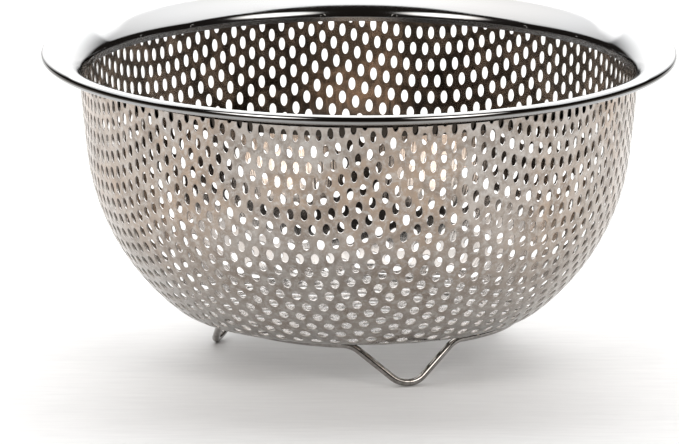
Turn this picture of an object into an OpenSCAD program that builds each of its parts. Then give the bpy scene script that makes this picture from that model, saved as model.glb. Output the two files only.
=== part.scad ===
// Basket strainer: a deep drawn, perforated steel bowl, a plain rim ring with a rolled edge,
// and one bent wire under the base that is both the foot ring and its three V feet.
// Millimetres. +Z is up, the bowl's axis is the Z axis and the feet stand on z = 0.
// -Y is the front.

/* [Overall] */
// height from the surface the feet stand on to the top of the brim
overall_h = 94.5; // [90:0.5:95.5]
// thickness of the bowl's sheet
bowl_sheet = 0.5; // [0.4:0.1:0.8]
// thickness of the rim ring's sheet
rim_sheet = 0.5; // [0.4:0.1:0.8]

/* [Bowl] */
// outer radius the upper wall would have at the height of the brim's top
wall_r = 86; // [80:0.5:92]
// slope of the upper wall at that height, from the vertical
wall_lean = 4.3; // [2:0.1:6]
// radius of the long, shallow curve of the upper wall
upper_curve_r = 750; // [500:10:900]
// slope of the wall where the round flank starts
flank_lean = 6.7; // [6:0.1:9]
// radius of the round flank
flank_r = 70.2; // [60:0.5:80]
// slope of the wall where the corner of the base starts
corner_lean = 51.9; // [45:0.1:60]
// radius of the corner round the flat base
corner_r = 12.4; // [8:0.5:20]
// how far the bowl's cut edge lies under the top of the brim
edge_drop = 5.9; // [5.5:0.05:6.5]

/* [Rim ring] */
// slope of the brim where it leaves the rolled edge
brim_turn = 4.5; // [2:0.5:8]
// radius of the brim's curve, down into the bowl
brim_curve_r = 15.65; // [14:0.05:18]
// slope at which that curve tightens
inward_turn = 48; // [40:1:52]
// radius of the tighter curve that leads down into the skirt
skirt_curve_r = 4.2; // [3.5:0.05:5]
// slope of the skirt, from the horizontal
skirt_turn = 85; // [84:0.5:89]
// how far the skirt's lower edge lies under the top of the brim
skirt_drop = 8.9; // [7:0.1:12]
// outer radius of the rolled edge
roll_r = 1.45; // [1.2:0.05:2]
// largest radius of the strainer
rim_r = 97.2; // [95:0.1:99]
// how far round the rolled edge is curled
roll_turn = 275; // [240:5:300]

/* [Foot ring] */
// diameter of the foot wire
wire_d = 2.2; // [1.8:0.1:3]
// radius of the foot ring, to the middle of its wire
foot_ring_r = 45; // [42:0.5:45]
// how far the foot ring is welded off the bowl's axis, to the right
foot_ring_shift = 3.5; // [0:0.1:3.8]
// turn of the front foot from the front, to the right
foot_azimuth = 14; // [0:0.5:30]
// half the part of the ring that each foot takes up
foot_half_turn = 24.5; // [23:0.5:27]
// slope of a foot's legs
leg_slope = 44; // [42:0.5:47]
// radius of the bend a foot stands on, to the middle of its wire
toe_bend_r = 7; // [5:0.5:9]
// outward lean of the feet, from the vertical
foot_splay = 30; // [20:0.5:30]
// outer radius of the butt weld that closes the ring
butt_weld_r = 1.5; // [1.3:0.1:1.8]
// length of the butt weld
butt_weld_len = 2.2; // [1.5:0.1:3]

/* [Spot welds] */
// number of spot welds that hold the skirt in the bowl
rim_weld_count = 24; // [12:1:36]
// diameter of one of those spot welds
rim_weld_d = 2; // [1.5:0.1:2.2]
// diameter of the welds between the foot wire and the base
foot_weld_d = 3.4; // [2.8:0.1:4]
// angle from a foot's middle to the weld on each side of it
foot_weld_turn = 32; // [28:0.5:40]
// height of weld metal between the wire and the base
weld_gap = 0.15; // [0.1:0.05:0.3]

/* [Part] */
// sub-part to draw

/* [Hidden] */
$fn = 180;
wire_fn = 48;

// The arcs of a sheet's section follow each other as proud and lapping ones in turn: a proud
// arc's faces stand out by so much, and a lapping one runs on so far into its neighbours.
proud = 0.01;
lap = 0.12;

wire_r = wire_d / 2;
// The wire is upset a little where it is bent, and the straight parts run on into the bends.
bend_r = wire_r + 0.02;
bend_lap = 0.2;

// Share of the wire's radius, up from its middle, at which the foot welds start.
weld_start = 0.25;
// How far the rim's spot welds stand out of the skirt.
rim_weld_rise = 0.2;

// Points and directions in the half section of the bowl are [radius, height under the brim's top].
// A wall that leans by "a" faces along out(a).
function out(a) = [cos(a), -sin(a)];

upper_c = [wall_r, 0] - upper_curve_r * out(wall_lean);
flank_c = upper_c + (upper_curve_r - flank_r) * out(flank_lean);
corner_c = flank_c + (flank_r - corner_r) * out(corner_lean);
base_z = corner_c[1] - corner_r;

// The rim ring's half section, in the same coordinates.
function lean_in(a) = [-sin(a), cos(a)];
roll_c = [rim_r - roll_r, -roll_r];
brim_c = roll_c - (brim_curve_r - roll_r) * lean_in(brim_turn);
skirt_c = brim_c + (brim_curve_r - skirt_curve_r) * lean_in(inward_turn);
skirt_top = skirt_c + skirt_curve_r * lean_in(skirt_turn);

// The foot ring, in the frame of one foot: X points out through the foot, Y runs along the ring.
ring_z = overall_h + base_z - weld_gap - wire_r;
toe_drop = ring_z - bend_r;
foot_len = toe_drop / cos(foot_splay);
foot_half_w = (foot_len + toe_bend_r * (1 / cos(leg_slope) - 1)) / tan(leg_slope);
shoulder_len = (foot_ring_r * sin(foot_half_turn) - foot_half_w) / cos(foot_half_turn);
foot_down = [sin(foot_splay), 0, -cos(foot_splay)];
ring_dir = [sin(foot_half_turn), cos(foot_half_turn), 0];
leg_dir = [0, cos(leg_slope), 0] + sin(leg_slope) * foot_down;
leg_up_dir = [-leg_dir[0], leg_dir[1], -leg_dir[2]];
ring_end = [foot_ring_r * cos(foot_half_turn), -foot_ring_r * sin(foot_half_turn), ring_z];
shoulder_turn = acos(ring_dir * leg_dir);
shoulder_r = shoulder_len / tan(shoulder_turn / 2);
shoulder_p = ring_end + shoulder_len * ring_dir;
leg_top = shoulder_p + shoulder_len * leg_dir;
toe = [shoulder_p[0], 0, ring_z] + foot_len * foot_down;
leg_end = toe - toe_bend_r * (sin(leg_slope) * [0, 1, 0] + (1 - cos(leg_slope)) * foot_down);

function unit(v) = v / norm(v);

// An arc of sheet: centre, outer radius, sheet, from and to angle.
module arc_band(c, r, sheet, from, to) {
  reach = 2 * r;
  mid = (from + to) / 2;
  translate(c)
    intersection() {
      difference() {
        circle(r);
        circle(r - sheet);
      }
      polygon([[0, 0],
               reach * [cos(from), sin(from)],
               2 * reach * [cos(mid), sin(mid)],
               reach * [cos(to), sin(to)]]);
    }
}

module proud_arc(c, r, sheet, from, to) {
  arc_band(c, r + proud, sheet + 2 * proud, from, to);
}

module lapping_arc(c, r, sheet, from, to) {
  lap_turn = lap / r * 180 / PI;
  arc_band(c, r, sheet, from - lap_turn, to + lap_turn);
}

// Everything under, or over, a level given as its drop under the top of the brim.
module below(drop) {
  translate([0, -drop - 2 * rim_r])
    square(2 * rim_r);
}

module above(drop) {
  translate([0, -drop])
    square(2 * rim_r);
}

module bowl_section() {
  intersection() {
    union() {
      lapping_arc(upper_c, upper_curve_r, bowl_sheet, -flank_lean, -wall_lean);
      proud_arc(flank_c, flank_r, bowl_sheet, -corner_lean, -flank_lean);
      lapping_arc(corner_c, corner_r, bowl_sheet, -90, -corner_lean);
      translate([0, base_z - proud])
        square([corner_c[0], bowl_sheet + 2 * proud]);
    }
    below(edge_drop);
  }
}

module rim_section() {
  intersection() {
    translate(skirt_top)
      rotate(skirt_turn - 90)
        translate([0, -2 * skirt_drop])
          square([rim_sheet, 2 * skirt_drop + lap]);
    above(skirt_drop);
  }
  proud_arc(skirt_c, skirt_curve_r, rim_sheet, 90 + inward_turn, 90 + skirt_turn);
  lapping_arc(brim_c, brim_curve_r, rim_sheet, 90 + brim_turn, 90 + inward_turn);
  translate(roll_c)
    difference() {
      circle(roll_r + proud);
      circle(roll_r - rim_sheet - proud);
      arc_gap(90 + brim_turn, 450 + brim_turn - roll_turn);
    }
}

// The open part of the curl.
module arc_gap(from, to) {
  reach = 4 * roll_r;
  mid = (from + to) / 2;
  polygon([[0, 0],
           reach * [cos(from), sin(from)],
           2 * reach * [cos(mid), sin(mid)],
           reach * [cos(to), sin(to)]]);
}

module perforated_bowl() {
  color([0.72, 0.69, 0.66])
    translate([0, 0, overall_h])
      rotate_extrude()
        bowl_section();
}

module rim_ring() {
  color([0.84, 0.86, 0.88])
    translate([0, 0, overall_h])
      rotate_extrude()
        rim_section();
}

// A bend in the wire that starts at p along t1 and ends along t2.
module wire_bend(p, t1, t2, r) {
  turn = acos(t1 * t2);
  side = unit(t2 - (t1 * t2) * t1);
  axle = cross(t1, side);
  c = p + r * side;
  multmatrix([[-side[0], t1[0], axle[0], c[0]],
              [-side[1], t1[1], axle[1], c[1]],
              [-side[2], t1[2], axle[2], c[2]],
              [0, 0, 0, 1]])
    rotate_extrude(angle = turn)
      translate([r, 0])
        circle(bend_r, $fn = wire_fn);
}

// A straight length of wire.
module wire_rod(p, q, r = wire_r) {
  d = q - p;
  translate(p - bend_lap * unit(d))
    rotate([0, acos(d[2] / norm(d)), atan2(d[1], d[0])])
      cylinder(h = norm(d) + 2 * bend_lap, r = r, $fn = wire_fn);
}

module half_foot() {
  wire_bend(ring_end, ring_dir, leg_dir, shoulder_r);
  wire_rod(leg_top, leg_end);
}

module foot() {
  wire_bend(leg_end, leg_dir, leg_up_dir, toe_bend_r);
  half_foot();
  mirror([0, 1, 0])
    half_foot();
}

// The stretch of ring from this foot to the next one.
module ring_stretch() {
  lap_turn = bend_lap / foot_ring_r * 180 / PI;
  translate([0, 0, ring_z])
    rotate([0, 0, foot_half_turn - lap_turn])
      rotate_extrude(angle = 120 - 2 * (foot_half_turn - lap_turn))
        translate([foot_ring_r, 0])
          circle(wire_r, $fn = wire_fn);
}

module on_foot_ring(turn) {
  translate([foot_ring_shift, 0, 0])
    rotate([0, 0, turn - 90 + foot_azimuth])
      children();
}

module foot_ring() {
  color([0.70, 0.67, 0.65])
    union() {
      for (i = [0:2])
        on_foot_ring(120 * i)
          foot();
      for (i = [0:2])
        on_foot_ring(120 * i)
          ring_stretch();
    }
}

// The upset collar where the wire's two ends are joined, half way between the two rear feet.
module butt_weld() {
  color([0.62, 0.60, 0.58])
    on_foot_ring(180)
      translate([foot_ring_r, -butt_weld_len / 2, ring_z])
        rotate([-90, 0, 0])
          difference() {
            intersection() {
              cylinder(h = butt_weld_len, r = butt_weld_r, $fn = wire_fn);
              translate([-butt_weld_r, -wire_r - weld_gap / 2, 0])
                cube([2 * butt_weld_r, 2 * butt_weld_r, butt_weld_len]);
            }
            translate([-foot_ring_r, 0, butt_weld_len / 2])
              rotate([90, 0, 0])
                rotate_extrude()
                  translate([foot_ring_r, 0])
                    circle(wire_r, $fn = wire_fn);
          }
}

// Six welds between the wire and the flat base, two beside each foot.
module foot_welds() {
  color([0.62, 0.60, 0.58])
    for (i = [0:2], side = [-1, 1])
      on_foot_ring(120 * i + side * foot_weld_turn)
        difference() {
          translate([foot_ring_r, 0, ring_z + weld_start * wire_r])
            cylinder(h = (1 - weld_start) * wire_r + weld_gap, d1 = wire_d, d2 = foot_weld_d,
                     $fn = wire_fn);
          translate([0, 0, ring_z])
            rotate_extrude()
              translate([foot_ring_r, 0])
                circle(wire_r, $fn = wire_fn);
        }
}

// Spot welds through the lap of the skirt and the bowl's wall.
module rim_welds() {
  lap_drop = (edge_drop + skirt_drop) / 2;
  face_r = skirt_top[0] - (lap_drop + skirt_top[1]) / tan(skirt_turn);
  color([0.66, 0.66, 0.66])
    for (i = [0:rim_weld_count - 1])
      rotate([0, 0, (i + 0.5) * 360 / rim_weld_count])
        translate([face_r - rim_weld_rise, 0, overall_h - lap_drop])
          rotate([0, 90, 0])
            cylinder(h = rim_weld_rise + rim_sheet + bowl_sheet, d = rim_weld_d,
                     $fn = wire_fn);
}

perforated_bowl();
rim_ring();
foot_ring();
butt_weld();
foot_welds();
rim_welds();
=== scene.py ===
import math

import bmesh
import bpy
import numpy as np
from mathutils import Matrix, Vector


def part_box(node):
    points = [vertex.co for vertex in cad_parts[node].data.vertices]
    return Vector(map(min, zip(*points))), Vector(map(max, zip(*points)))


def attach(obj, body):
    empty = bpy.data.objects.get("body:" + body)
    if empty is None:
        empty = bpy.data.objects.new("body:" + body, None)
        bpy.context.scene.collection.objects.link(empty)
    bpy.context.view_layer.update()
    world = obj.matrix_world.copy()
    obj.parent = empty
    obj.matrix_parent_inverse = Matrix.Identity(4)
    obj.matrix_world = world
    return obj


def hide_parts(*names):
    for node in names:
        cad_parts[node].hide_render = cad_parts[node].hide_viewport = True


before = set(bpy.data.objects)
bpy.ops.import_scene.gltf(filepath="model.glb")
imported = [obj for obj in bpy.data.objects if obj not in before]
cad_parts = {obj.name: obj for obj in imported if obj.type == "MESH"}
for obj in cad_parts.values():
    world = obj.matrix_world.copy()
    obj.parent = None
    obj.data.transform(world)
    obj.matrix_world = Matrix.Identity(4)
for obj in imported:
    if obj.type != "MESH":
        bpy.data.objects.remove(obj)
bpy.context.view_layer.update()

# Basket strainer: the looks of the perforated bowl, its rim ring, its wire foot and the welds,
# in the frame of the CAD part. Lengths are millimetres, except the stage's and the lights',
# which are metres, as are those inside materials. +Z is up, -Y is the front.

MM = 0.001
RNG = np.random.default_rng(7)


def cad_box(node):
    low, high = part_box(node)
    return np.array(low) / MM, np.array(high) / MM


# ---- sizes, the same as the part's ----

TOP = cad_box("rim_ring")[1][2]
SHEET = 0.5

# Bowl: leans are measured from the vertical, and heights run from the top of the brim.
WALL_R, WALL_LEAN = 86.0, 4.3
UPPER_R, FLANK_LEAN = 750.0, 6.7
FLANK_R, CORNER_LEAN = 70.2, 51.9
CORNER_R = 12.4
EDGE_DROP = TOP - cad_box("perforated_bowl")[1][2]

# Rim ring.
RIM_R = -cad_box("rim_ring")[0][0]
BRIM_TURN, BRIM_CURVE_R = 4.5, 15.65
INWARD_TURN, SKIRT_CURVE_R = 48.0, 4.2
SKIRT_TURN, SKIRT_DROP = 85.0, 8.9
ROLL_R, ROLL_TURN = 1.45, 275.0

# Foot wire.
WIRE_R = 1.1
BEND_R = 1.12
WELD_GAP = 0.15
RING_R, RING_SHIFT = 45.0, 3.5
RING_Z = cad_box("perforated_bowl")[0][2] - WELD_GAP - WIRE_R
FOOT_AZIMUTH, FOOT_HALF_TURN = 14.0, 24.5
LEG_SLOPE, TOE_BEND_R, FOOT_SPLAY = 44.0, 7.0, 30.0
BUTT_WELD_R, BUTT_WELD_LEN = 1.45, 2.2
FOOT_WELD_TURN = 32.0
RIM_WELDS = 24

# ---- details that the part leaves out ----

# Perforation, as punched in the flat sheet: round holes on a 60 degree pattern.
PITCH, HOLE_R = 5.0, 1.5
PATTERN_TURN, PATTERN_SHIFT = -12.95, (5.383, 1.857)
HOLE_SIDES = 18
EDGE_SOFT = 0.14
# Flat radius over the radius of equal area, as a polynomial in the share of the way up the wall.
DRAW = (0.872, -0.0417, 0.1471)
# How much narrower and taller than the sheet round them the holes in the upper wall are drawn.
HOLE_SQUEEZE, HOLE_STRETCH = 0.17, 0.08
# Faint rings left by the drawing: their height and pitch, and the length over which they start.
RIPPLE, RIPPLE_LENGTH, RIPPLE_START = 0.018, 8.5, 20.0

# Rounding of the rim's cut edges, and points along each stretch of its section.
SKIRT_EDGE_SOFT, CURL_EDGE_SOFT = 0.12, 0.1
STRAIGHT_POINTS, SKIRT_POINTS, BRIM_POINTS, CURL_POINTS = 6, 24, 40, 44
RIM_SIDES, WIRE_SIDES = 320, 24

# Unevenness of the wire, and the foot welds' fillets: where they start, and how they flare.
WIRE_WOBBLE = 0.006
FILLET_START, FILLET_R, FILLET_FLARE = 0.25, 1.12, 0.55

# Painted shade and reflection on the rim: shade painted behind the skirt, and a painted dark
# reflection line round the widest part of the rolled edge.
SHADE_DROP = 4.2
# Painted dark reflection: heights under the brim's top, and the radius beyond which, of the thin
# near-black line on the rolled edge.
DARK_LINE_FROM, DARK_LINE_TO, DARK_LINE_R = 1.12, 1.68, 96.2
# Inside this radius the brim is a little duller.
DULL_BRIM_R = 94.4


def rad(a):
    return a * math.pi / 180


def out(lean):
    return np.array([math.cos(rad(lean)), -math.sin(rad(lean))])


def dir2(a):
    return np.array([math.cos(rad(a)), math.sin(rad(a))])


def unit(v):
    return v / np.linalg.norm(v)


# ---- the drawn bowl's outer face ----

UPPER_C = np.array([WALL_R, 0.0]) - UPPER_R * out(WALL_LEAN)
FLANK_C = UPPER_C + (UPPER_R - FLANK_R) * out(FLANK_LEAN)
CORNER_C = FLANK_C + (FLANK_R - CORNER_R) * out(CORNER_LEAN)
# Distances along the section, from the base's centre, at which its stretches end.
STOPS = np.cumsum(
    [
        CORNER_C[0],
        CORNER_R * rad(90 - CORNER_LEAN),
        FLANK_R * rad(CORNER_LEAN - FLANK_LEAN),
        UPPER_R * rad(FLANK_LEAN - WALL_LEAN),
    ]
)


def smooth_face(s):
    """Radius, height under the brim's top and lean of the outer face, without its ripple."""
    lean = np.full(s.shape, math.pi / 2)
    r = s.copy()
    z = np.full(s.shape, CORNER_C[1] - CORNER_R)
    arcs = (
        (CORNER_C, CORNER_R, STOPS[0], 90.0),
        (FLANK_C, FLANK_R, STOPS[1], CORNER_LEAN),
        (UPPER_C, UPPER_R, STOPS[2], FLANK_LEAN),
    )
    for centre, radius, start, first in arcs:
        on = s > start
        b = rad(first) - (s[on] - start) / radius
        lean[on] = b
        r[on] = centre[0] + radius * np.cos(b)
        z[on] = centre[1] - radius * np.sin(b)
    return r, z, lean


def bowl_face(s):
    """Radius, height under the brim's top and lean of the outer face, s from the base's centre."""
    r, z, lean = smooth_face(s)
    wave = 2 * math.pi / RIPPLE_LENGTH
    size = RIPPLE * np.clip((s - STOPS[1]) / RIPPLE_START, 0, 1) * (0.6 + 0.4 * np.sin(s / 11.0))
    push = size * np.sin(wave * s)
    r += push * np.cos(lean)
    z -= push * np.sin(lean)
    return r, z, lean + size * wave * np.cos(wave * s)


ALONG = np.linspace(0, STOPS[3], 4001)
ALONG_R, ALONG_Z, _ = bowl_face(ALONG)
AREA = np.concatenate([[0], np.cumsum((ALONG_R[1:] + ALONG_R[:-1]) / 2 * np.diff(ALONG))])
SHARE = ALONG / ALONG[-1]
FLAT_R = np.sqrt(2 * AREA) * (DRAW[0] + DRAW[1] * SHARE + DRAW[2] * SHARE**2)


def drawn(flat, depth):
    """Points of the flat sheet, at a depth under its outer face, once it is drawn; and normals."""
    q = np.hypot(flat[..., 0], flat[..., 1])
    turn = np.arctan2(flat[..., 1], flat[..., 0])
    s = np.interp(q, FLAT_R, ALONG)
    over = q > FLAT_R[-1]
    s[over] += q[over] - FLAT_R[-1]
    r, z, lean = bowl_face(s)
    normal = np.stack(
        [np.cos(lean) * np.cos(turn), np.cos(lean) * np.sin(turn), -np.sin(lean)], -1
    )
    at = np.stack([r * np.cos(turn), r * np.sin(turn), z + TOP], -1)
    return at - depth * normal, normal


# ---- the perforated bowl ----


def new_object(name, verts, faces):
    """A smooth mesh object; its vertices are given in millimetres."""
    mesh = bpy.data.meshes.new(name)
    mesh.from_pydata((np.asarray(verts) * MM).tolist(), [], faces)
    mesh.update()
    mesh.polygons.foreach_set("use_smooth", [True] * len(mesh.polygons))
    obj = bpy.data.objects.new(name, mesh)
    bpy.context.scene.collection.objects.link(obj)
    return obj


def hole_centres():
    reach = int(FLAT_R[-1] / PITCH * 1.3) + 3
    i, j = np.meshgrid(np.arange(-reach, reach + 1), np.arange(-reach, reach + 1))
    u, v = PITCH * dir2(PATTERN_TURN), PITCH * dir2(PATTERN_TURN + 60)
    centres = i.reshape(-1, 1) * u + j.reshape(-1, 1) * v + np.array(PATTERN_SHIFT)
    return centres[np.hypot(*centres.T) < np.interp(-EDGE_DROP, ALONG_Z, FLAT_R) + PITCH]


def cell_loops():
    """The hexagon of sheet round a hole, and two loops at the hole's edge, about its centre."""
    corner = PITCH / math.sqrt(3)
    per_side = HOLE_SIDES // 6
    hexagon = []
    for side in range(6):
        a = corner * dir2(PATTERN_TURN + 30 + 60 * side)
        b = corner * dir2(PATTERN_TURN + 90 + 60 * side)
        hexagon += [a + (b - a) * k / per_side for k in range(per_side)]
    turns = [PATTERN_TURN + 30 + 360 * k / HOLE_SIDES for k in range(HOLE_SIDES)]
    circle = np.array([dir2(t) for t in turns])
    return np.array(hexagon), circle * (HOLE_R + EDGE_SOFT), circle * HOLE_R


def squeezed(loop, centres):
    """The hole's loop about each centre, deformed more towards the top of the wall."""
    q = np.linalg.norm(centres, axis=-1, keepdims=True)
    outward = centres / q
    start, end = np.interp([STOPS[1], STOPS[2]], ALONG, FLAT_R)
    share = np.clip((q - start) / (end - start), 0, 1)
    radial = (loop * outward).sum(-1, keepdims=True) * outward
    return radial * (1 + HOLE_STRETCH * share) + (loop - radial) * (1 - HOLE_SQUEEZE * share)


def merged(points):
    """The points without doubles, and for each one its place among them."""
    keys = np.round(points * 1000).astype(np.int64)
    _, first, place = np.unique(keys, axis=0, return_index=True, return_inverse=True)
    return points[first], place


def face_loops(hexagon, lip, wall, outer):
    """Points and normals of the loops on one face of the sheet, from the hexagon to the hole."""
    sign = 1 if outer else -1
    depth = 0.0 if outer else SHEET
    hexagon_at, hexagon_normal = drawn(hexagon, depth)
    lip_at, lip_normal = drawn(lip, depth)
    wall_at, wall_normal = drawn(wall, depth + sign * EDGE_SOFT)
    to_axis = wall_at.mean(1, keepdims=True) - wall_at
    to_axis -= (to_axis * wall_normal).sum(-1, keepdims=True) * wall_normal
    to_axis /= np.linalg.norm(to_axis, axis=-1, keepdims=True)
    return [(hexagon_at, sign * hexagon_normal), (lip_at, sign * lip_normal), (wall_at, to_axis)]


def perforated_arrays():
    """Vertices, normals and faces of the whole perforated sheet, still without its cut edge."""
    centres = hole_centres()[:, None, :]
    hexagon, lip, wall = cell_loops()
    cells = (len(centres), HOLE_SIDES)
    hexagon, shared = merged((centres + hexagon).reshape(-1, 2))
    own = np.arange(cells[0] * cells[1]).reshape(cells)
    loops = (hexagon, centres + squeezed(lip, centres), centres + squeezed(wall, centres))
    places = (shared.reshape(cells), own, own)
    outer = list(zip(face_loops(*loops, True), places))
    inner = list(zip(face_loops(*loops, False), places))
    points, normals, indices, count = [], [], [], 0
    for (at, normal), place in outer + inner[::-1]:
        points.append(at.reshape(-1, 3))
        normals.append(normal.reshape(-1, 3))
        indices.append(place + count)
        count += len(points[-1])
    faces = []
    for a, b in zip(indices[:-1], indices[1:]):
        quad = np.stack([a, b, np.roll(b, -1, 1), np.roll(a, -1, 1)], -1)
        faces.append(quad.reshape(-1, 4))
    return np.concatenate(points), np.concatenate(normals), np.concatenate(faces)


def cap_cut(bm, height):
    """Closes the thin strips that the cut leaves open between two holes."""
    rim = [
        e
        for e in bm.edges
        if e.is_boundary and all(abs(v.co.z - height) < 1e-6 for v in e.verts)
    ]
    bmesh.ops.holes_fill(bm, edges=rim, sides=0)


def perforated_bowl():
    """The perforated sheet, cut off level under the brim; it keeps its normals through the cut."""
    verts, normals, faces = perforated_arrays()
    obj = new_object("bowl_sheet", verts, faces.tolist())
    mesh = obj.data
    bm = bmesh.new()
    bm.from_mesh(mesh)
    layer = bm.verts.layers.float_vector.new("face_normal")
    for v, n in zip(bm.verts, normals.tolist()):
        v[layer] = n
    height = (TOP - EDGE_DROP) * MM
    bmesh.ops.bisect_plane(
        bm,
        geom=bm.verts[:] + bm.edges[:] + bm.faces[:],
        plane_co=(0, 0, height),
        plane_no=(0, 0, 1),
        clear_outer=True,
    )
    cap_cut(bm, height)
    shading = [Vector(v[layer]).normalized() for v in bm.verts]
    bm.to_mesh(mesh)
    bm.free()
    mesh.normals_split_custom_set_from_vertices(shading)
    return obj


# ---- the rim ring ----


def arc_points(centre, radius, first, last, n):
    turns = np.radians(np.linspace(first, last, n))
    return centre + radius * np.stack([np.cos(turns), np.sin(turns)], -1)


def rim_face(inset):
    """One face of the rim's sheet, from the skirt's edge to the end of the curl."""
    roll_c = np.array([RIM_R - ROLL_R, -ROLL_R])
    brim_c = roll_c - (BRIM_CURVE_R - ROLL_R) * dir2(90 + BRIM_TURN)
    skirt_c = brim_c + (BRIM_CURVE_R - SKIRT_CURVE_R) * dir2(90 + INWARD_TURN)
    brim, inward, skirt = 90 + BRIM_TURN, 90 + INWARD_TURN, 90 + SKIRT_TURN
    arc_top = skirt_c + (SKIRT_CURVE_R - inset) * dir2(skirt)
    low = -SKIRT_DROP + SKIRT_EDGE_SOFT
    edge = np.array([[arc_top[0] - (arc_top[1] - low) / math.tan(rad(SKIRT_TURN)), low]])
    straight = edge + (arc_top - edge) * np.linspace(0, 1, STRAIGHT_POINTS)[:, None]
    return np.concatenate(
        [
            straight[:-1],
            arc_points(skirt_c, SKIRT_CURVE_R - inset, skirt, inward, SKIRT_POINTS)[:-1],
            arc_points(brim_c, BRIM_CURVE_R - inset, inward, brim, BRIM_POINTS)[:-1],
            arc_points(roll_c, ROLL_R - inset, brim, brim - ROLL_TURN, CURL_POINTS),
        ]
    )


def rim_section():
    """The closed half section of the rim ring: along its shown face, and back along the other."""
    shown, back = rim_face(0), rim_face(SHEET)
    foot = (shown[0] + back[0]) / 2 - np.array([0, SKIRT_EDGE_SOFT])
    tip = (shown[-1] + back[-1]) / 2 + CURL_EDGE_SOFT * dir2(BRIM_TURN - ROLL_TURN)
    return np.concatenate([shown, [tip], back[::-1], [foot]])


def skirt_radius(drop):
    """Radius of the skirt's shown face at drops under the brim's top."""
    shown = rim_face(0)[: STRAIGHT_POINTS + SKIRT_POINTS - 1]
    return np.interp(drop, -shown[::-1, 1], shown[::-1, 0])


def revolve(name, section, sides):
    """A ring with this closed half section of [radius, height under the brim's top]."""
    turns = np.linspace(0, 2 * math.pi, sides, endpoint=False)[:, None]
    r, z = section[None, :, 0], section[None, :, 1]
    verts = np.stack([r * np.cos(turns), r * np.sin(turns), z + TOP + 0 * turns], -1)
    index = np.arange(sides * len(section)).reshape(sides, -1)
    nxt = np.roll(index, -1, 0)
    quad = np.stack([index, np.roll(index, -1, 1), np.roll(nxt, -1, 1), nxt], -1)
    return new_object(name, verts.reshape(-1, 3), quad.reshape(-1, 4).tolist())


def rim_ring():
    obj = revolve("brim", rim_section()[::-1], RIM_SIDES)
    obj.data.set_sharp_from_angle(angle=rad(50))
    return obj


# ---- the foot wire ----


def bend_points(p, t1, t2, radius, n):
    """Points of a bend that starts at p along t1 and ends along t2."""
    turn = math.acos(float(np.clip(t1 @ t2, -1, 1)))
    side = unit(t2 - (t1 @ t2) * t1)
    centre = p + radius * side
    a = np.linspace(0, turn, n)[:, None]
    return centre - radius * np.cos(a) * side + radius * np.sin(a) * t1


def half_foot():
    """Half a foot, in the frame of the foot: X points out through it, Y runs along the ring."""
    length = (RING_Z - BEND_R) / math.cos(rad(FOOT_SPLAY))
    slope = rad(LEG_SLOPE)
    half_w = (length + TOE_BEND_R * (1 / math.cos(slope) - 1)) / math.tan(slope)
    h = rad(FOOT_HALF_TURN)
    shoulder = (RING_R * math.sin(h) - half_w) / math.cos(h)
    down = np.array([math.sin(rad(FOOT_SPLAY)), 0, -math.cos(rad(FOOT_SPLAY))])
    along = np.array([0, 1.0, 0])
    ring_dir = np.array([math.sin(h), math.cos(h), 0])
    leg_dir = math.cos(slope) * along + math.sin(slope) * down
    ring_end = np.array([RING_R * math.cos(h), -RING_R * math.sin(h), RING_Z])
    shoulder_r = shoulder / math.tan(math.acos(ring_dir @ leg_dir) / 2)
    corner = ring_end + shoulder * ring_dir
    toe = np.array([corner[0], 0, RING_Z]) + length * down
    leg_end = toe - TOE_BEND_R * (math.sin(slope) * along + (1 - math.cos(slope)) * down)
    top = bend_points(ring_end, ring_dir, leg_dir, shoulder_r, 9)
    leg = top[-1] + (leg_end - top[-1]) * np.linspace(0, 1, 12)[1:-1, None]
    bend = bend_points(leg_end, leg_dir, along, TOE_BEND_R, 14)
    return np.concatenate([top, leg, bend])


def on_foot_ring(points, turn):
    """Points in the frame of a foot, moved to the foot at this turn from the front one."""
    a = rad(turn - 90 + FOOT_AZIMUTH)
    c, s = math.cos(a), math.sin(a)
    x, y, z = np.asarray(points).T
    return np.stack([c * x - s * y + RING_SHIFT, s * x + c * y, z], -1)


def ring_points(turns):
    return np.stack([RING_R * np.cos(turns), RING_R * np.sin(turns), 0 * turns + RING_Z], -1)


def wire_path():
    half = half_foot()
    foot = np.concatenate([half, (half * [1, -1, 1])[::-1][1:]])
    turns = np.radians(np.linspace(FOOT_HALF_TURN, 120 - FOOT_HALF_TURN, 34)[1:-1])
    third = np.concatenate([foot, ring_points(turns)])
    return np.concatenate([on_foot_ring(third, 120 * i) for i in range(3)])


def sweep(name, path, radii, closed):
    """A round wire along a path; radii has one value a point."""
    if closed:
        ahead, behind = np.roll(path, -1, 0), np.roll(path, 1, 0)
    else:
        ahead, behind = np.vstack([path[1:], path[-1]]), np.vstack([path[0], path[:-1]])
    along = ahead - behind
    along /= np.linalg.norm(along, axis=1, keepdims=True)
    up = np.array([0, 0, 1.0]) - along[:, 2:] * along
    up /= np.linalg.norm(up, axis=1, keepdims=True)
    side = np.cross(along, up)
    a = np.linspace(0, 2 * math.pi, WIRE_SIDES, endpoint=False)
    ring = np.cos(a)[None, :, None] * side[:, None] + np.sin(a)[None, :, None] * up[:, None]
    verts = path[:, None] + np.asarray(radii).reshape(-1, 1, 1) * ring
    index = np.arange(len(path) * WIRE_SIDES).reshape(-1, WIRE_SIDES)
    nxt = np.roll(index, -1, 0)
    quad = np.stack([index, nxt, np.roll(nxt, -1, 1), np.roll(index, -1, 1)], -1)
    faces = (quad if closed else quad[:-1]).reshape(-1, 4).tolist()
    if not closed:
        faces += [index[0].tolist(), index[-1][::-1].tolist()]
    return new_object(name, verts.reshape(-1, 3), faces)


def foot_wire():
    path = wire_path()
    wobble = WIRE_WOBBLE * np.sin(np.arange(len(path)) * 0.7)
    return sweep("foot_wire", path, WIRE_R + wobble, True)


# ---- the welds ----


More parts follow.
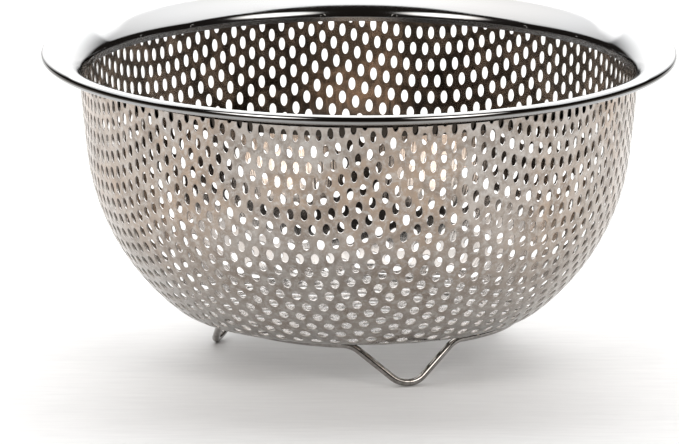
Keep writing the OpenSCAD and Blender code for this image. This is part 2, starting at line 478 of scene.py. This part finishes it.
def butt_weld():
    """A slightly uneven collar, ground flat where it lies against the base."""
    u = np.linspace(-1, 1, 19)
    bulge = np.sqrt(np.clip(1 - u**2, 0, 1))
    radii = WIRE_R - 0.02 + (BUTT_WELD_R - WIRE_R) * bulge + 0.02 * np.sin(9 * u)
    path = ring_points(u * BUTT_WELD_LEN / 2 / RING_R)
    obj = sweep("wire_butt_weld", on_foot_ring(path, 180), radii, False)
    ceiling = (RING_Z + WIRE_R + WELD_GAP / 2) * MM
    for v in obj.data.vertices:
        v.co.z = min(v.co.z, ceiling)
    return obj


def bead_points(centre, axis, profile, sides, rough):
    """A profile of [radius, height] turned about an axis, a little uneven."""
    side = unit(np.cross(axis, [0.3, 0.2, 1.0] if abs(axis[2]) < 0.9 else [1.0, 0, 0]))
    other = np.cross(axis, side)
    oval, three_lobed, _ = RNG.uniform(0, 6.28, 3)
    points = []
    for r, h in profile:
        for t in np.linspace(0, 2 * math.pi, sides, endpoint=False):
            k = 1 + rough * (math.sin(2 * t + oval) + 0.6 * math.sin(3 * t + three_lobed + r))
            points.append(centre + r * k * (math.cos(t) * side + math.sin(t) * other) + h * axis)
    return points


def bead_faces(rings, sides, first):
    """Quads between the rings of a bead whose points start at first, and a cap at each end."""
    faces = []
    for i in range(rings - 1):
        for j in range(sides):
            a, b = first + i * sides + j, first + i * sides + (j + 1) % sides
            faces.append([a, b, b + sides, a + sides])
    faces.append([first + (rings - 1) * sides + j for j in range(sides)])
    faces.append([first + j for j in range(sides)][::-1])
    return faces


def beads(name, centres, axes, profile, sides, rough):
    verts, faces = [], []
    for centre, axis in zip(centres, axes):
        faces += bead_faces(len(profile), sides, len(verts))
        verts += bead_points(centre, unit(axis), profile, sides, rough)
    return new_object(name, verts, faces)


def foot_welds():
    """Fillets of weld metal between the wire and the base."""
    height = WIRE_R * (1 - FILLET_START) + WELD_GAP
    low = RING_Z + WIRE_R * FILLET_START
    steps = [k / 9 for k in range(10)]
    profile = [[FILLET_R + FILLET_FLARE * u**2.2, height * u * 0.985] for u in steps]
    turns = [120 * i + side * FOOT_WELD_TURN for i in range(3) for side in (-1, 1)]
    centres = [on_foot_ring([[RING_R, 0, low]], t)[0] for t in turns]
    up = np.array([0, 0, 1.0])
    return beads("foot_weld_fillets", centres, [up] * len(centres), profile, 28, 0.03)


def rim_spot_welds():
    """Shallow round marks where the skirt is welded to the bowl."""
    low, high = cad_box("rim_welds")
    radius = (high[2] - low[2]) / 2
    shares = (1.0, 0.97, 0.84, 0.72, 0.4, 0.1)
    heights = (-0.05, 0.005, 0.022, 0.018, 0.01, 0.01)
    profile = [[radius * share, height] for share, height in zip(shares, heights)]
    turns = [rad((i + 0.5) * 360 / RIM_WELDS) for i in range(RIM_WELDS)]
    axes = [np.array([-math.cos(a), -math.sin(a), 0]) for a in turns]
    centres = [[0, 0, (low[2] + high[2]) / 2]] * RIM_WELDS
    sides = 24
    obj = beads("rim_spot_welds", centres, axes, profile, sides, 0.012)
    # Each mark starts on the axis, and every point of it goes out to the skirt's face.
    verts = obj.data.vertices
    reach = skirt_radius([TOP - v.co.z / MM for v in verts]).tolist()
    for v, distance in zip(verts, reach):
        v.co -= Vector(axes[v.index // (len(profile) * sides)]) * distance * MM
    return obj


# ---- materials ----


class Look:
    """A procedural material: nodes for marks, tint and bump round a Principled shader."""

    def __init__(self, name, metallic=1.0):
        self.material = bpy.data.materials.new(name)
        self.material.use_nodes = True
        self.tree = self.material.node_tree
        self.shader = self.tree.nodes["Principled BSDF"]
        self.shader.inputs["Metallic"].default_value = metallic

    def node(self, kind, operation=None):
        n = self.tree.nodes.new(kind)
        if operation:
            n.operation = operation
        return n

    def link(self, a, b):
        self.tree.links.new(a, b)

    def drive(self, **values):
        """Links values to the shader's inputs; Base_Color stands for Base Color."""
        for name, value in values.items():
            self.link(value, self.shader.inputs[name.replace("_", " ")])

    def maths(self, operation, a, b=None):
        n = self.node("ShaderNodeMath", operation)
        for socket, value in ((0, a), (1, b)):
            if isinstance(value, (int, float)):
                n.inputs[socket].default_value = value
            elif value is not None:
                self.link(value, n.inputs[socket])
        return n.outputs[0]

    def vector_maths(self, operation, a, b=None):
        n = self.node("ShaderNodeVectorMath", operation)
        self.link(a, n.inputs[0])
        if isinstance(b, tuple):
            n.inputs[1].default_value = b
        elif b is not None:
            self.link(b, n.inputs[1])
        return n.outputs["Value" if operation in ("DOT_PRODUCT", "LENGTH") else "Vector"]

    def place(self):
        return self.node("ShaderNodeTexCoord").outputs["Object"]

    def split_place(self):
        split = self.node("ShaderNodeSeparateXYZ")
        self.link(self.place(), split.inputs[0])
        return split.outputs

    def radius(self):
        """Distance from the strainer's axis."""
        return self.vector_maths("LENGTH", self.vector_maths("MULTIPLY", self.place(), (1, 1, 0)))

    def round_place(self, around, outward, up):
        """Place in [arc, radius, height], each stretched by a factor, for marks that run round."""
        x, y, z = self.split_place()
        join = self.node("ShaderNodeCombineXYZ")
        parts = ((self.maths("ARCTAN2", y, x), around), (self.radius(), outward), (z, up))
        for socket, (value, stretch) in zip(join.inputs, parts):
            self.link(self.maths("MULTIPLY", value, stretch), socket)
        return join.outputs[0]

    def facing(self):
        """1 where the surface faces away from the middle of the bowl's mouth, -1 towards it."""
        normal = self.node("ShaderNodeNewGeometry").outputs["Normal"]
        arm = self.vector_maths("ADD", self.place(), (0, 0, -TOP * MM))
        return self.vector_maths("DOT_PRODUCT", normal, self.vector_maths("NORMALIZE", arm))

    def nearer_than(self, level, soft):
        """1 nearer to the strainer's axis than a level, in millimetres, and 0 beyond it."""
        return self.span(self.radius(), (level - soft) * MM, (level + soft) * MM, 1.0, 0.0)

    def lower_than(self, level, soft):
        """1 under a level, in millimetres, and 0 over it."""
        height = self.split_place()[2]
        return self.span(height, (level - soft) * MM, (level + soft) * MM, 1.0, 0.0)

    def noise(self, place, scale, detail=3.0, roughness=0.5, distortion=0.0):
        n = self.node("ShaderNodeTexNoise")
        n.inputs["Scale"].default_value = scale
        n.inputs["Detail"].default_value = detail
        n.inputs["Roughness"].default_value = roughness
        n.inputs["Distortion"].default_value = distortion
        self.link(place, n.inputs["Vector"])
        return n.outputs["Fac"]

    def span(self, value, low, high, to_low, to_high):
        """The value, stretched from one range to another and clamped to it."""
        n = self.node("ShaderNodeMapRange")
        self.link(value, n.inputs["Value"])
        n.inputs["From Min"].default_value = low
        n.inputs["From Max"].default_value = high
        n.inputs["To Min"].default_value = to_low
        n.inputs["To Max"].default_value = to_high
        return n.outputs[0]

    def mix(self, factor, a, b):
        """From colour a to colour b, each a triple or a socket."""
        n = self.node("ShaderNodeMix")
        n.data_type = "RGBA"
        self.link(factor, n.inputs["Factor"])
        for key, value in (("A", a), ("B", b)):
            socket = next(i for i in n.inputs if i.name == key and i.type == "RGBA")
            if isinstance(value, tuple):
                socket.default_value = (*value, 1)
            else:
                self.link(value, socket)
        return next(o for o in n.outputs if o.type == "RGBA")

    def bump(self, height, distance, strength, onto=None):
        n = self.node("ShaderNodeBump")
        n.inputs["Strength"].default_value = strength
        n.inputs["Distance"].default_value = distance
        self.link(height, n.inputs["Height"])
        if onto is not None:
            self.link(onto, n.inputs["Normal"])
        return n.outputs["Normal"]


def bowl_outside(m, low, streak, mottle, speck):
    """Tint of the bowl's outer face: warm patches of painted reflection, painted shade darker
    towards the base, flecked.
    """
    patch = m.noise(m.place(), 22.0, 3.0, 0.6, 0.6)
    # Painted reflection: warm tan patches stand in for the warm surroundings reflected in the
    # steel.
    tint = m.mix(m.span(patch, 0.42, 0.60, 0.0, 1.0), (0.51, 0.465, 0.425), (0.45, 0.345, 0.265))
    # Painted shade: darker grey over the lower wall, standing in for its reflection of the shaded
    # floor under the bowl.
    tint = m.mix(low, tint, (0.36, 0.345, 0.33))
    # Painted shade: darker still near the base.
    tint = m.mix(m.lower_than(16.0, 6.0), tint, (0.24, 0.235, 0.225))
    tint = m.mix(m.span(streak, 0.35, 0.7, 0.0, 0.40), tint, (0.33, 0.295, 0.265))
    tint = m.mix(m.span(mottle, 0.44, 0.62, 0.0, 0.75), tint, (0.29, 0.245, 0.21))
    return m.mix(m.span(speck, 0.48, 0.66, 0.0, 0.6), tint, (0.64, 0.62, 0.595))


def bowl_inside(m, low):
    """Tint of the bowl's inner face: painted reflection in dark brown and tan patches, and a
    lighter grey painted reflection over the base.
    """
    # Painted reflection: dark brown and tan patches stand in for the dark, warm surroundings
    # reflected inside the bowl.
    painted_reflection = m.span(m.noise(m.place(), 85.0, 3.0, 0.6, 1.2), 0.42, 0.62, 0.0, 1.0)
    return m.mix(low, m.mix(painted_reflection, (0.16, 0.13, 0.105), (0.46, 0.355, 0.275)), (0.38, 0.365, 0.35))


def bowl_steel():
    """Drawn sheet: vertical drawing marks, faint rings, smudges; painted warm and dark reflection,
    painted shade towards the base outside, and a painted highlight on the cut edges.
    """
    m = Look("bowl_steel")
    place = m.place()
    streak = m.noise(m.round_place(55, 8, 12), 1.0, 4.0, 0.6)
    rings = m.noise(m.round_place(1.2, 260, 420), 1.0, 2.0, 0.5)
    mottle = m.noise(place, 130.0, 4.0, 0.65, 0.8)
    speck = m.noise(place, 520.0, 4.0, 0.7, 0.4)
    grain = m.noise(place, 1500.0, 3.0, 0.6)
    facing = m.facing()
    inside = m.span(facing, -0.5, -0.2, 1.0, 0.0)
    cut = m.span(m.maths("ABSOLUTE", facing), 0.35, 0.6, 1.0, 0.0)
    # Height mask for the painted shade low on the outer face and the lighter painted reflection
    # over the inner base.
    low = m.lower_than(36.0, 24.0)
    tint = m.mix(inside, bowl_outside(m, low, streak, mottle, speck), bowl_inside(m, low))
    # Painted highlight: lighter colour on the cut edges of the holes.
    tint = m.mix(cut, tint, (0.60, 0.575, 0.55))
    rough = m.maths("ADD", m.span(mottle, 0.3, 0.7, 0.13, 0.26), m.span(grain, 0.3, 0.7, 0.0, 0.05))
    rough = m.maths("SUBTRACT", rough, m.maths("MULTIPLY", inside, 0.05))
    rough = m.maths("ADD", rough, m.maths("MULTIPLY", cut, 0.12))
    normal = m.bump(streak, 0.0004, 0.3)
    normal = m.bump(rings, 0.00008, 0.35, normal)
    normal = m.bump(speck, 0.00003, 0.45, normal)
    normal = m.bump(grain, 0.00001, 0.3, normal)
    m.drive(Base_Color=tint, Roughness=rough, Normal=normal)
    return m.material


def rim_painted_shade(m):
    """1 where shade is painted behind the skirt and where a dark reflection is painted on the line
    round the rolled edge, and 0 elsewhere.
    """
    turned_out = m.span(m.facing(), 0.0, 0.2, 0.0, 1.0)
    # Painted shade: the skirt's outward face under the brim, where shade falls, is coloured
    # near-black.
    behind = m.maths("MULTIPLY", turned_out, m.lower_than(TOP - SHADE_DROP, 0.6))
    # Painted dark reflection: a thin near-black line round the widest part of the rolled edge.
    above, below = m.lower_than(TOP - DARK_LINE_FROM, 0.1), m.lower_than(TOP - DARK_LINE_TO, 0.1)
    line = m.maths("SUBTRACT", above, below)
    line = m.maths("MULTIPLY", line, m.maths("SUBTRACT", 1, m.nearer_than(DARK_LINE_R, 0.1)))
    return m.maths("MAXIMUM", behind, line)


def rim_steel():
    """Polished sheet, with fine lines that run round it and a few smudges, painted shade behind the
    skirt and a painted dark reflection line on the rolled edge.
    """
    m = Look("rim_steel")
    place = m.place()
    lines = m.noise(m.round_place(3.0, 5200, 5200), 1.0, 3.0, 0.6)
    smudge = m.noise(place, 60.0, 4.0, 0.6, 0.6)
    patch = m.noise(place, 14.0, 2.0, 0.5)
    tint = m.mix(m.span(patch, 0.35, 0.65, 0.0, 1.0), (0.385, 0.39, 0.395), (0.37, 0.365, 0.36))
    # Painted shade and painted reflection: near-black colour behind the skirt and on the line round
    # the rolled edge.
    tint = m.mix(rim_painted_shade(m), tint, (0.05, 0.042, 0.035))
    rough = m.maths("ADD", m.span(smudge, 0.3, 0.7, 0.03, 0.08), m.span(lines, 0.3, 0.7, 0.0, 0.03))
    rough = m.maths("ADD", rough, m.maths("MULTIPLY", m.nearer_than(DULL_BRIM_R, 0.8), 0.03))
    normal = m.bump(patch, 0.0004, 0.12, m.bump(lines, 0.00001, 0.25))
    m.drive(Base_Color=tint, Roughness=rough, Normal=normal)
    return m.material


def wire_steel():
    """Bright drawn wire with die lines and the odd scuff."""
    m = Look("wire_steel")
    scuff = m.noise(m.place(), 420.0, 4.0, 0.65, 1.2)
    grain = m.noise(m.place(), 2500.0, 2.0, 0.5)
    tint = m.mix(m.span(scuff, 0.35, 0.7, 0.0, 1.0), (0.38, 0.36, 0.34), (0.20, 0.185, 0.17))
    rough = m.span(scuff, 0.3, 0.7, 0.03, 0.08)
    normal = m.bump(grain, 0.00002, 0.3, m.bump(scuff, 0.00005, 0.4))
    m.drive(Base_Color=tint, Roughness=rough, Normal=normal)
    return m.material


def weld_steel():
    """Weld metal: dull, pitted, and tinted by heat."""
    m = Look("weld_steel")
    heat = m.noise(m.place(), 900.0, 3.0, 0.6, 0.5)
    pits = m.noise(m.place(), 2600.0, 4.0, 0.7)
    straw = m.mix(m.span(heat, 0.35, 0.6, 0.0, 1.0), (0.55, 0.53, 0.51), (0.52, 0.42, 0.30))
    tint = m.mix(m.span(heat, 0.6, 0.75, 0.0, 1.0), straw, (0.30, 0.31, 0.40))
    rough = m.span(pits, 0.3, 0.7, 0.30, 0.50)
    m.drive(Base_Color=tint, Roughness=rough, Normal=m.bump(pits, 0.00005, 0.5))
    return m.material


def spot_weld_steel():
    """The skirt's own steel, a little dulled where it was melted."""
    m = Look("spot_weld_steel")
    mottle = m.noise(m.place(), 1100.0, 3.0, 0.6, 0.4)
    tint = m.mix(m.span(mottle, 0.35, 0.65, 0.0, 1.0), (0.38, 0.375, 0.37), (0.35, 0.34, 0.325))
    rough = m.span(mottle, 0.3, 0.7, 0.09, 0.16)
    m.drive(Base_Color=tint, Roughness=rough, Normal=m.bump(mottle, 0.00003, 0.3))
    return m.material


def floor_board():
    """Pale board with a faint, drawn-out grain."""
    m = Look("floor", metallic=0.0)
    m.shader.inputs["Roughness"].default_value = 0.7
    stretch = m.node("ShaderNodeMapping")
    stretch.inputs["Scale"].default_value = (0.12, 1.0, 1.0)
    m.link(m.place(), stretch.inputs["Vector"])
    grain = m.noise(stretch.outputs[0], 420.0, 4.0, 0.6)
    cloud = m.noise(m.place(), 6.0, 2.0, 0.5)
    tint = m.mix(m.span(grain, 0.3, 0.7, 0.0, 1.0), (0.84, 0.84, 0.84), (0.92, 0.92, 0.915))
    tint = m.mix(m.span(cloud, 0.3, 0.7, 0.0, 0.3), tint, (0.86, 0.86, 0.865))
    m.drive(Base_Color=tint)
    return m.material


# ---- the stage, the lights and the camera ----

FLOOR_REACH = 12.0

# Camera: far away on a long lens, a little above the rim.
CAMERA_DISTANCE = 6000.0
ELEVATION = 12.5
ROLL = -0.144
SENSOR, LENS = 36.0, 1041.8262
# The point it looks at: so far to the right of and under the middle of the brim's top.
AIM_RIGHT, AIM_DOWN = -5.9236641, 52.610687


def floor():
    reach = FLOOR_REACH / MM
    corners = [(-reach, -reach, 0), (reach, -reach, 0), (reach, reach, 0), (-reach, reach, 0)]
    obj = new_object("floor", corners, [(0, 1, 2, 3)])
    obj.data.materials.append(floor_board())


def softbox(name, at, aim, size, watts, spread, colour=(1, 1, 1)):
    lamp = bpy.data.lights.new(name, "AREA")
    lamp.shape = "RECTANGLE"
    lamp.size, lamp.size_y = size
    lamp.energy = watts
    lamp.spread = rad(spread)
    lamp.color = colour
    obj = bpy.data.objects.new(name, lamp)
    obj.location = at
    obj.rotation_mode = "QUATERNION"
    obj.rotation_quaternion = (Vector(aim) - Vector(at)).to_track_quat("-Z", "Y")
    bpy.context.scene.collection.objects.link(obj)


def lights():
    softbox("overhead", (0, 0.80, 1.2), (0, 0.60, 0), (3.6, 1.8), 33, 140)
    softbox("back", (0, 1.9, 0.75), (0, 0.35, 0.0), (3.6, 1.5), 10, 75)
    warm = (1.0, 0.97, 0.94)
    for name, x in (("front_left", -0.74), ("front_right", 0.74)):
        softbox(name, (x, -0.82, 0.86), (0, 0.08, 0.05), (0.95, 1.0), 0.8, 38, warm)


def sky():
    world = bpy.data.worlds.new("room")
    world.use_nodes = True
    back = world.node_tree.nodes["Background"]
    back.inputs["Color"].default_value = (0.040, 0.033, 0.028, 1)
    back.inputs["Strength"].default_value = 0.5
    bpy.context.scene.world = world


def camera():
    e, r = rad(ELEVATION), rad(ROLL)
    forward = np.array([0, math.cos(e), -math.sin(e)])
    level_up = np.array([0, math.sin(e), math.cos(e)])
    level_right = np.array([1.0, 0, 0])
    right = math.cos(r) * level_right - math.sin(r) * level_up
    up = math.cos(r) * level_up + math.sin(r) * level_right
    target = np.array([0, 0, TOP]) + AIM_RIGHT * right - AIM_DOWN * up
    data = bpy.data.cameras.new("camera")
    data.sensor_width = SENSOR
    data.lens = LENS
    data.clip_start, data.clip_end = 0.1, 100
    obj = bpy.data.objects.new("camera", data)
    obj.location = (target - CAMERA_DISTANCE * forward) * MM
    obj.rotation_mode = "QUATERNION"
    axes = Matrix(np.stack([right, up, -forward], 1).tolist())
    obj.rotation_quaternion = axes.to_quaternion()
    bpy.context.scene.collection.objects.link(obj)
    bpy.context.scene.camera = obj


def dress(obj, material, slot, *nodes):
    obj.data.materials.append(material)
    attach(obj, "root")
    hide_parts(*nodes)


welds = weld_steel()
dress(perforated_bowl(), bowl_steel(), "bowl_steel", "perforated_bowl")
dress(rim_ring(), rim_steel(), "rim_steel", "rim_ring")
dress(foot_wire(), wire_steel(), "foot_steel", "foot_ring")
dress(butt_weld(), welds, "weld_steel", "butt_weld")
dress(foot_welds(), welds, "weld_steel", "foot_welds")
dress(rim_spot_welds(), spot_weld_steel(), "weld_steel", "rim_welds")

floor()
lights()
sky()
camera()
bpy.context.scene.view_settings.view_transform = "Standard"

bpy.context.view_layer.update()
